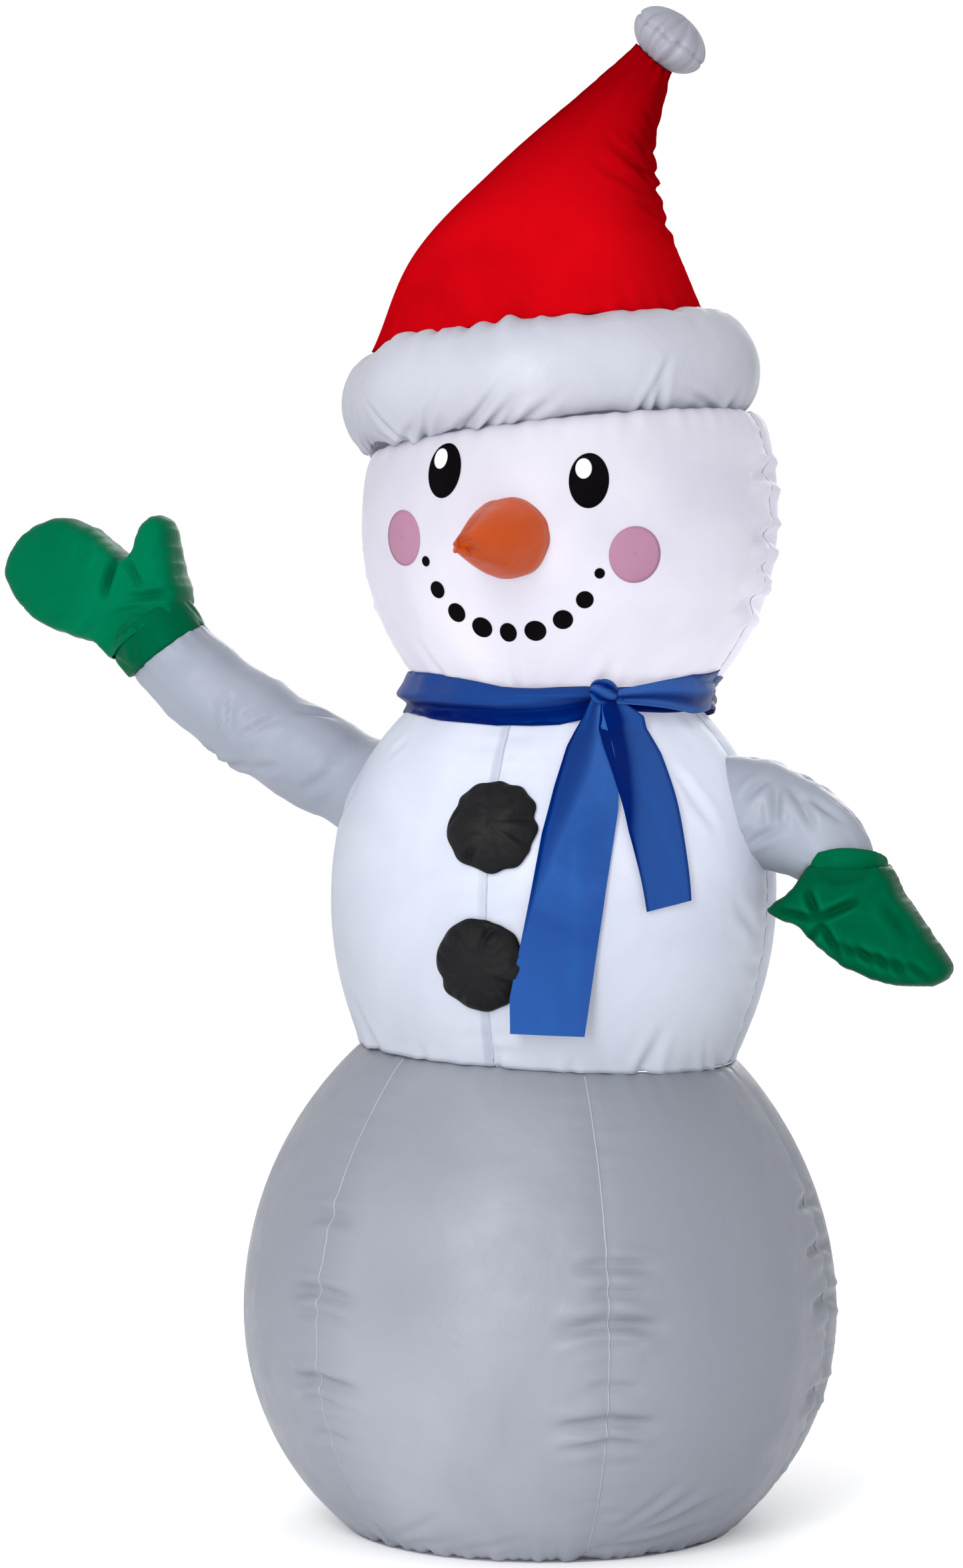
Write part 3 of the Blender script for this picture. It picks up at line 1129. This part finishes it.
bag("raised_mitten_bag", "raised_mitten", [
    (-367, 700), (-380, 711), (-402, 718), (-433, 730), (-455, 752), (-465, 777), (-451, 804), (-432, 817),
    (-412, 822),
    (-386, 813), (-371, 801), (-355, 789), (-350, 791), (-345, 811), (-337, 820), (-326, 823), (-315, 816),
    (-310, 795),
    (-306, 774), (-301, 757), (-303, 744), (-319, 733), (-335, 722), (-351, 711),
], ((-367, 700), (-303, 744)), 30, -10, "mitten_fabric", 83, 0.0, [
    ((-354, 796), (-367, 748), 4, 6.0), ((-349, 790), (-330, 756), 3, 3.6),
    ((-300, 757), (-348, 751), 3.4, 4.0),
    ((-330, 744), (-360, 738), 3, 1.8), ((-392, 716), (-372, 736), 3, 1.6),
    ((-424, 728), (-396, 738), 3.4, 1.6),
    ((-376, 806), (-392, 776), 5, 1.6), ((-350, 712), (-362, 728), 3, 1.6),
    ((-322, 732), (-336, 742), 3, 1.4),
])
bag("lowered_mitten_bag", "lowered_mitten", [
    (295, 538), (307, 518), (325, 493), (342, 470), (346, 458), (337, 446), (319, 443), (292, 446),
    (264, 455), (239, 471),
    (222, 487), (205, 494), (196, 499), (193, 505), (203, 513), (216, 523), (228, 538), (245, 538),
    (262, 538), (279, 538),
], ((228, 538), (295, 538)), 28, -24, "mitten_fabric", 89, 0.8, [
    ((244, 498), (232, 522), 3.4, 5.0), ((242, 499), (276, 514), 3.2, 4.8),
    ((244, 497), (260, 468), 3.2, 5.0),
    ((244, 498), (208, 504), 3, 4.0), ((246, 494), (232, 478), 3, 3.4), ((258, 482), (272, 468), 3, 2.8),
    ((270, 480), (288, 462), 3, 3.0), ((286, 474), (300, 458), 3, 2.8), ((300, 470), (312, 454), 3, 2.6),
    ((312, 466), (330, 452), 3, 2.8), ((262, 476), (318, 460), 3.4, 2.4), ((290, 516), (318, 480), 5, 1.4),
])

# ---- Nose and buttons --------------------------------------------------------------------------------

rng = np.random.default_rng(97)
NOSE_ROOT = np.array([27.0, -150, 796])
NOSE_AIM = np.array([-5.0, -130, -11])
NOSE_AIM = NOSE_AIM / np.linalg.norm(NOSE_AIM)
side = np.cross(NOSE_AIM, [0, 0, 1.0])
side /= np.linalg.norm(side)
rise = np.cross(side, NOSE_AIM)
rows, cols = 64, 96
t = np.linspace(0, 1, rows)[:, None]
angle = circle(cols) + 0 * t
radius = np.interp(t, [0, 0.08, 0.2, 0.35, 0.5, 0.65, 0.8, 0.9, 0.96, 1.0],
                   [28.5, 31.0, 31.2, 27.6, 22.8, 17.4, 11.8, 8.2, 5.6, 1.2])
push = 0.35 * ripple(rng, angle, 3, 10) + np.exp(-((t - 0.10) / 0.06) ** 2) * 0.2 * ripple(rng, angle, 6, 16)
push += np.exp(-((t - 0.93) / 0.06) ** 2) * 1.3 * ripple(rng, angle + 5 * t, 3, 7)
seam = np.abs(turn_from(angle - 1.35))
push -= 0.9 * np.exp(-seam * radius / 3)
along = NOSE_ROOT + NOSE_AIM * (t * 132)[..., None]
points = (along + (side * np.cos(angle)[..., None] + rise * np.sin(angle)[..., None])
          * (radius + push)[..., None])
points[-1] = points[-1].mean(axis=0)
nose = piece("carrot_nose_cone", points.reshape(-1, 3), grid_faces(rows, cols)[:, ::-1], "nose_fabric")
shade(nose, np.clip(0.8 * np.exp(-seam * radius / 4) + 0.5 * (t > 0.9), 0, 1))
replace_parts(thicken(nose), "carrot_nose")

torso_tree = BVHTree.FromPolygons(
    [tuple(p * MM) for p in (torso["points"] + torso["normals"] * TORSO_PUSH[..., None]).reshape(-1, 3)],
    [tuple(int(i) for i in f) for f in grid_faces(*TORSO_PUSH.shape)])


def button(name, node, centre, seed, notches):
    """A gathered cloth disc stuffed into a low dome, sewn to the torso round its edge."""
    rng = np.random.default_rng(seed)
    centre = np.array(centre, float)
    facing = np.array([centre[0] - 10, centre[1], (centre[2] - 500) * 0.6])
    facing /= np.linalg.norm(facing)
    side = np.cross([0, 0, 1.0], facing)
    side /= np.linalg.norm(side)
    rise = np.cross(facing, side)
    rows, cols = 34, 120
    t = np.linspace(0.02, 1, rows)[:, None]
    angle = circle(cols) + 0 * t
    scallop = 1 + 0.022 * ripple(rng, angle, 8, 13) + 0.014 * ripple(rng, angle, 3, 6)
    dome = 14.0 * np.sqrt(np.clip(1 - (t * 0.985) ** 2.6, 0, 1)) + 0 * angle
    push = 0.9 * t ** 3 * (1 - t ** 8) * ripple(rng, angle, 10, 24) + 0.7 * ripple(rng, angle, 2, 5) * t
    flat_x, flat_z = 36 * t * np.cos(angle), 36 * t * np.sin(angle)
    for _ in range(16):
        spin = rng.uniform(0, 6.28)
        start = 33 * np.array([math.cos(spin), math.sin(spin)])
        end = start * rng.uniform(0.35, 0.75) + rng.uniform(-7, 7, 2)
        push += crease(flat_x, flat_z, start, end, rng.uniform(2.0, 3.6), rng.uniform(0.8, 2.2), True)
    for at, wide, deep in notches:
        turn = turn_from(angle, at)
        pinch = np.exp(-(turn / math.radians(wide)) ** 2)
        scallop = scallop - 0.05 * pinch * t ** 2
        push -= deep * pinch * np.exp(-((t - 0.72) / 0.26) ** 2)
    reach = 36.0 * t * scallop
    points = []
    for r in range(rows):
        for c in range(cols):
            spot = (centre + side * reach[r, c] * math.cos(angle[r, c])
                    + rise * reach[r, c] * math.sin(angle[r, c]))
            hit = torso_tree.ray_cast(Vector((spot + facing * 60) * MM), Vector(-facing))[0]
            ground = np.array(hit) / MM if hit else spot
            points.append(ground + facing * (0.4 + dome[r, c] + push[r, c] * min(1, dome[r, c] / 8)))
    made = piece(name, points, grid_faces(rows, cols).tolist() + [list(range(cols))[::-1]], "button_fabric")
    shade(made, np.zeros(rows * cols))
    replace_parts(thicken(made, 0.5), node)


button("top_button_puff", "top_button", (14.5, -170, 572), 101, [(12, 9, 3.6), (-24, 8, 3.0), (150, 8, 2.5)])
button("bottom_button_puff", "bottom_button", (6.5, -171, 467), 103,
       [(70, 8, 3.0), (-30, 9, 2.4), (200, 8, 2.0)])

# ---- Scarf -------------------------------------------------------------------------------------------

def clear_of(trees, points, middle, gap):
    """Points pushed out from an upright axis until they lie clear of the skins."""
    flat = points.reshape(-1, 3).copy()
    for n, point in enumerate(flat):
        out = point - middle
        out[2] = 0
        reach = np.linalg.norm(out)
        out /= reach
        start = Vector((middle[0] + out[0] * 260, middle[1] + out[1] * 260, point[2])) * MM
        for tree in trees:
            hit = tree.ray_cast(start, Vector(-out), 0.2)[0]
            if hit:
                reach = max(reach, 260 - (hit - start).length / MM + gap)
        flat[n, :2] = middle[:2] + out[:2] * reach
    return flat.reshape(points.shape)


rng = np.random.default_rng(109)
SKINS = [head_tree, torso_tree]
NECK_MIDDLE = np.array([16.0, 0, 0])
rows, cols = 40, 420
angle = circle(cols)
v = np.linspace(-1, 1, rows)[:, None]
around = angle[None, :] + 0 * v
turn = np.degrees(around)
WRAP_LIFT = [(-90, 0), (-40, 1.5), (-20, -2), (-5, -4.8), (8, -3.5), (17, -1.5), (26, 2), (33, 5), (45, 8),
             (75, 11),
             (105, 11), (150, 5), (180, 0)]
WRAP_HALF = [(-90, 17.5), (-35, 17), (0, 14.5), (17, 14.5), (26, 12.5), (33, 9), (45, 10), (70, 12),
             (110, 14), (180, 17)]
lift, half = (np.interp(turn, *np.array(table).T, period=360) for table in (WRAP_LIFT, WRAP_HALF))
half = half + 1.0 * ripple(rng, around, 2, 6)
radius = 126 - 2.5 * v - 1.5 * v ** 6
for k, (slope, phase, deep) in enumerate([(0.55, -0.5, 2.6), (-0.4, 0.35, 2.2), (0.25, 1.2, 1.8)]):
    fold = v - 0.45 * np.sin(around * (k + 1) + phase) - slope * 0.2
    radius = radius + deep * np.tanh(fold * 7) * np.exp(-(fold * 1.5) ** 2)
radius = radius + 0.4 * ripple(rng, around, 10, 26) * (0.5 + v ** 2)
level = lift + half * v + 0.8 * ripple(rng, around, 3, 8)
points = carry(NECK, np.stack([radius * np.sin(around), -radius * np.cos(around), level], -1))
points = clear_of(SKINS, points, NECK_MIDDLE, 1.4)
wrap = piece("scarf_wrap", points.reshape(-1, 3), grid_faces(rows, cols), "scarf_fabric")
shade(wrap, np.clip(0.9 - 0.25 * np.tanh(6 * (v - 0.45 * np.sin(around - 0.5) - 0.11)), 0, 1))
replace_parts(thicken(wrap, 0.5, 1.0), "scarf_collar")


def torso_radius(level):
    """The torso's outside radius at a height above the waist, straight below its widest circle."""
    return np.where(level > 130, 180.5 - 194 + np.sqrt(np.clip(194 ** 2 - (level - 130) ** 2, 1, None)),
                    180.5)


def tail(name, node, azimuth, left, right, over, pivot, waves, gloom, seed):
    """A hanging strip between two edges, each a list of (sideways, height), lying a little off the torso."""
    rng = np.random.default_rng(seed)
    rows, cols = 100, 26
    share = np.linspace(0, 1, rows)
    edges = []
    for edge in (left, right):
        edge = np.array(edge, float)
        run = np.concatenate([[0], np.cumsum(np.linalg.norm(np.diff(edge, axis=0), axis=1))])
        edges.append(np.stack([np.interp(share * run[-1], run, edge[:, n]) for n in range(2)], 1))
    spin = math.radians(azimuth)
    across = np.array([math.cos(spin), math.sin(spin), 0])
    outward = np.array([math.sin(spin), -math.cos(spin), 0])
    points, dark = np.zeros((rows, cols, 3)), np.zeros((rows, cols))
    for c in range(cols):
        mix = c / (cols - 1)
        x, z = (edges[0] * (1 - mix) + edges[1] * mix).T
        level = z - 386
        radius = np.maximum(torso_radius(level) + 4.8, over)
        bulge = (waves * (np.sin(math.pi * (mix * 1.7 + 0.2 + share * 0.8)) * 1.1
                          + 0.5 * wobble(rng if c == 0 else np.random.default_rng(seed), z, 60, 140)))
        fold = np.tanh((mix - 0.15 - share * 0.75) * 9)
        bulge = bulge + 0.8 * fold * np.exp(-((mix - 0.15 - share * 0.75) * 5) ** 2)
        deep = np.sqrt(np.clip((radius + bulge) ** 2 - x ** 2, 1, None))
        axis = np.stack([8 + 0.0227 * level, 0 * z, z], 1)
        points[:, c] = axis + x[:, None] * across + deep[:, None] * outward
        dark[:, c] = np.clip(gloom + 0.4 * np.tanh((0.78 - 1.1 * share - mix) * 8)
                             + 0.3 * (np.abs(mix - 0.5) > 0.45), 0, 1)
    made = piece(name, points.reshape(-1, 3), grid_faces(rows, cols, False)[:, ::-1], "scarf_fabric",
                 body=None)
    shade(made, dark)
    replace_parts(made, node)
    pivot = np.array(pivot, float)
    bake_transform(made)
    return made


long_tail = tail("scarf_long_tail", "scarf_tail_long", 20,
                 [(22, 680), (13, 658), (-0.5, 634), (-10.5, 604), (-20, 568), (-42, 441), (-41, 414)],
                 [(31, 680), (27.5, 662), (36, 634), (40, 610), (39, 585), (30, 525), (16, 412)],
                 136.0, (73.2, -119, 649), 0.9, 0.35, 113)
short_tail = tail("scarf_short_tail", "scarf_tail_short", 43,
                  [(-27, 680), (-28, 664), (-30, 634), (-28, 604), (-24, 570), (-11, 507)],
                  [(-18, 680), (-6, 666), (9, 657), (18, 628), (21, 598), (28, 515)],
                  134.0, (102.9, -98.8, 649), 0.9, 0.85, 127)

rng = np.random.default_rng(131)
KNOT = np.array([8 + 4 + 136 * math.sin(math.radians(33)), -136 * math.cos(math.radians(33)), 676.0])
spin = math.radians(33)
across = np.array([math.cos(spin), math.sin(spin), 0])
outward = np.array([math.sin(spin), -math.cos(spin), 0])
rows, cols = 44, 72
rise = np.linspace(-1.5, 1.5, rows)[:, None]
angle = circle(cols) + 0 * rise
folds = 1 + 0.11 * np.cos(4 * angle + 2.6 * rise + 0.4) + 0.04 * ripple(rng, angle, 6, 14)
x = 10.5 * np.sin(rise)
lump = 8.5 * np.cos(rise) ** 0.6 * folds
points = (KNOT + x[..., None] * across + (lump * 0.72 * np.cos(angle))[..., None] * outward
          + (lump * np.sin(angle))[..., None] * np.array([0, 0, 1.0]))
knot = piece("scarf_knot_twist", points.reshape(-1, 3), grid_faces(rows, cols), "scarf_fabric")
shade(knot, np.clip(0.7 - 0.4 * np.cos(4 * angle + 2.6 * rise + 0.4), 0, 1))
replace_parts(thicken(knot, 0.5), "scarf_knot")

rows, cols = 22, 60
mix = np.linspace(0, 1, cols)[None, :] + np.zeros((rows, 1))
v = np.linspace(-1, 1, rows)[:, None] + 0 * mix
azimuths = np.radians(36 + 52 * mix)
spread = 5 + 10.5 * np.clip(mix * 1.6, 0, 1)
radius = 134 + 1.5 * np.sin(math.pi * mix) + 2.4 * np.sin(v * 4.2 + 2.5 * mix) - 6 * mix ** 3
level = spread * v + 8 + 11.0 * mix - 3 * mix ** 2 + 2.2 * np.sin(5.5 * mix + 1) * mix
azimuths = azimuths + mix ** 4 * 0.05 * np.sin(v * 5)
points = carry(NECK, np.stack([radius * np.sin(azimuths), -radius * np.cos(azimuths), level], -1))
points = clear_of(SKINS, points, NECK_MIDDLE, 2.2)
end = piece("scarf_free_end", points.reshape(-1, 3), grid_faces(rows, cols, False), "scarf_fabric")
shade(end, np.clip(0.35 + 0.5 * np.sin(v * 4.2 + 2.5 * mix + 1.3), 0, 1))
thicken(end, 0.6, 1.0)

# ---- Blower sleeve, zip tape, stake tabs and sandbags --------------------------------------------------

rng = np.random.default_rng(139)
rows, cols = 30, 160
t = np.linspace(0, 1, rows)[:, None]
angle = circle(cols) + 0 * t
y = 200 + 46.5 * t
tied = np.exp(-((y - 240.5) / 7) ** 2)
radius = 47.3 + (1 - tied) * (1.9 + 1.1 * ripple(rng, angle, 18, 44) * np.clip(t * 1.3, 0.2, 1)) - 0.25 * tied
points = np.stack([radius * np.sin(angle), y + 0 * angle, 72 + radius * np.cos(angle)], -1)
sock = piece("blower_sleeve_gathered", points.reshape(-1, 3), grid_faces(rows, cols)[:, ::-1], "base_fabric")
shade(sock, np.clip(0.5 * tied + 0 * angle, 0, 1))
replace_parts(thicken(sock, 0.4), "blower_sleeve")

ZIP_LEVEL, ZIP_HALF, ZIP_SWEEP = 219.0, 13.0, 44.0


def ball_radius(level):
    return 240.7 - 290.4 + np.sqrt(290.4 ** 2 - (level - 174) ** 2)


points, faces = [], []
for low, high in ((ZIP_LEVEL - ZIP_HALF, ZIP_LEVEL - 1.6), (ZIP_LEVEL + 1.6, ZIP_LEVEL + ZIP_HALF)):
    turns = np.radians(180 + np.linspace(-ZIP_SWEEP / 2, ZIP_SWEEP / 2, 120))[None, :]
    z = np.linspace(low, high, 8)[:, None] + 0 * turns
    r = ball_radius(z) + 0.8 + 0.06 * ripple(rng, turns * 4, 9, 30)
    base = len(points)
    points += np.stack([r * np.sin(turns), -r * np.cos(turns), z], -1).reshape(-1, 3).tolist()
    faces += (grid_faces(8, 120, False) + base).tolist()
tape = thicken(piece("zip_tape_strips", points, faces, "zip_tape"), 0.5)
shade(tape, np.zeros(len(points)))
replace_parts(tape, "zipper_tape")

BOX_CORNERS = np.array([(x, y, z) for x in (-1, 1) for y in (-1, 1) for z in (-1, 1)], float)
BOX_FACES = np.array([(0, 1, 3, 2), (4, 6, 7, 5), (0, 4, 5, 1), (2, 3, 7, 6), (0, 2, 6, 4), (1, 5, 7, 3)])
points, faces = [], []
for number in range(88):
    spin = math.radians(180 + (number - 43.5) * (ZIP_SWEEP - 2) / 88)
    outward = np.array([math.sin(spin), -math.cos(spin), 0])
    along = np.array([math.cos(spin), math.sin(spin), 0])
    for side in (-1, 1):
        middle = (outward * (ball_radius(ZIP_LEVEL) + 1.75) + along * 0.5 * side
                  + np.array([0, 0, ZIP_LEVEL + side * 0.9]))
        base = len(points)
        shape = BOX_CORNERS * (1 - 0.25 * (BOX_CORNERS[:, :1] > 0)) * [0.6, 0.42, 1.3]
        points += [middle + outward * a + along * b + np.array([0, 0, c]) for a, b, c in shape]
        faces += (BOX_FACES + base).tolist()
piece("zip_teeth", points, faces, "zip_metal", smooth=False)

points, faces, lines = [], [], []
EYELET_REACH, TAB_START, TAB_END, TAB_HALF, TAB_HOLE = 262.0, 160.5, 275.6, 12.3, 6.6
for azimuth in (66, 114):
    spin = math.radians(azimuth)
    along = np.array([math.cos(spin), math.sin(spin), 0])
    across = np.array([-math.sin(spin), math.cos(spin), 0])
    hole = [(EYELET_REACH + TAB_HOLE * math.cos(a), TAB_HOLE * math.sin(a))
            for a in np.arange(36) * math.pi / 18]
    rim = [(x, y) for x in np.linspace(TAB_START, TAB_END, 40) for y in (-TAB_HALF, TAB_HALF)]
    rim += [(x, y) for y in np.linspace(-TAB_HALF, TAB_HALF, 11)[1:-1] for x in (TAB_START, TAB_END)]
    fill = [(x, y) for x in np.linspace(TAB_START, TAB_END, 40)[1:-1]
            for y in np.linspace(-TAB_HALF, TAB_HALF, 11)[1:-1]]
    fill = [p for p in fill if math.hypot(p[0] - EYELET_REACH, p[1]) > TAB_HOLE + 1]
    made = geometry.delaunay_2d_cdt([Vector(p) for p in hole + rim + fill],
                                    [(n, (n + 1) % 36) for n in range(36)], [], 0, 1e-5)
    base = len(points)
    for x, y in made[0]:
        points.append(along * x + across * y + np.array([0, 0, 1.36 - 0.10 * math.sin(x * 0.9) ** 2]))
    for face in made[2]:
        middle = sum((made[0][i] for i in face), Vector((0, 0))) / 3
        if math.hypot(middle.x - EYELET_REACH, middle.y) > TAB_HOLE * 0.99:
            faces.append([base + i for i in face])
    box = [(168, -9), (192, -9), (192, 9), (168, 9), (168, -9), (192, 9), (168, 9), (192, -9)]
    line = np.concatenate([np.linspace(a, b, 12)[:-1] for a, b in zip(box, box[1:])])
    lines.append((np.array([along * x + across * y + np.array([0, 0, 1.36]) for x, y in line]),
                  np.tile([0, 0, 1.0], (len(line), 1))))
tabs = thicken(piece("stake_tab_straps", points, faces, "webbing"), 1.3)
shade(tabs, np.zeros(len(points)))
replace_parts(tabs, "stake_tabs")
seam_lines("stake_tab_stitches", lines, 0.8, "webbing",
           metal("stitch_thread", (90, 90, 96), (60, 60, 66), 0.6), lift=0.1)

for side, x in (("left", -68), ("right", 68)):
    rows, cols = 40, 90
    rise = np.linspace(-1.5, 1.5, rows)[:, None]
    angle = circle(cols) + 0 * rise
    belly = np.cos(rise) ** 0.45
    pull = 0.7 * ripple(rng, angle, 8, 26) * np.exp(-(rise / 0.35) ** 2)
    px = (45 + pull) * belly * power(np.cos(angle), 0.5)
    py = (57 + pull) * belly * power(np.sin(angle), 0.5)
    pz = 18.4 + 16.6 * power(np.sin(rise), 0.75) + 0.5 * ripple(rng, angle, 3, 8) * (1 - np.abs(np.sin(rise)))
    pz = np.maximum(pz, 1.5)
    bag_points = np.stack([x + px, py, pz], -1).reshape(-1, 3)
    pillow = piece("sandbag_" + side + "_pouch", bag_points, grid_faces(rows, cols), "sandbag_fabric",
                   body=None)
    inflate(pillow, np.flatnonzero(bag_points[:, 2] < 2), 0.02, 4.0, 1.0)
    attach(pillow, "root")
    shade(pillow, np.zeros(rows * cols))
    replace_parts(thicken(pillow, 0.4), "sandbag_" + side)

# ---- CAD nodes that keep their shape -----------------------------------------------------------------

KEPT = {
    "blower_housing": "blower_plastic", "intake_grille": "blower_plastic", "motor_mount": "blower_plastic",
    "impeller": "fan_plastic", "dc_inlet": "inlet_plastic", "sleeve_band": "band_plastic",
    "motor_can": "motor_steel",
    "motor_end_cap": "socket_plastic", "motor_bush_inner": "bush_brass", "motor_bush_outer": "bush_brass",
    "motor_magnets": "magnet", "motor_shaft": "motor_steel", "motor_armature": "armature",
    "grille_screws": "screw_steel",
    "lamp_gland": "gland_rubber", "lamp_socket_lower": "socket_plastic",
    "lamp_socket_upper": "socket_plastic",
    "lamp_lower": "lamp_dome", "lamp_upper": "lamp_dome",
    "lamp_ties": "webbing", "waist_baffle": "baffle_fabric", "zipper_slider": "zip_metal",
    "zipper_pull": "zip_metal",
    "stake_eyelets": "eyelet_metal",
}
for node, slot in KEPT.items():
    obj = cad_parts[node]
    if obj.material_slots:
        for place in obj.material_slots:
            place.material = look[slot]
    else:
        obj.data.materials.append(look[slot])

# ---- Floor -------------------------------------------------------------------------------------------

floor = Shader("studio_floor", 0.9, specular=0.0)
floor.join(floor.mix(floor.ramp(floor.noise(1.5), 0.0, 1.0), (0.90, 0.90, 0.91, 1), (0.88, 0.88, 0.89, 1)),
           floor.main.inputs["Base Color"])
floor.main.inputs["Emission Color"].default_value = (1, 1, 1, 1)
floor.main.inputs["Emission Strength"].default_value = 0.14
sweep = bpy.data.meshes.new("studio_floor")
sweep.from_pydata([(-20, -20, 0), (20, -20, 0), (20, 20, 0), (-20, 20, 0)], [], [(0, 1, 2, 3)])
sweep.materials.append(floor.material)
ground = bpy.data.objects.new("studio_floor", sweep)
ground.location.z = -0.0004
scene.collection.objects.link(ground)
ground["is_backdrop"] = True

low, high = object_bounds()
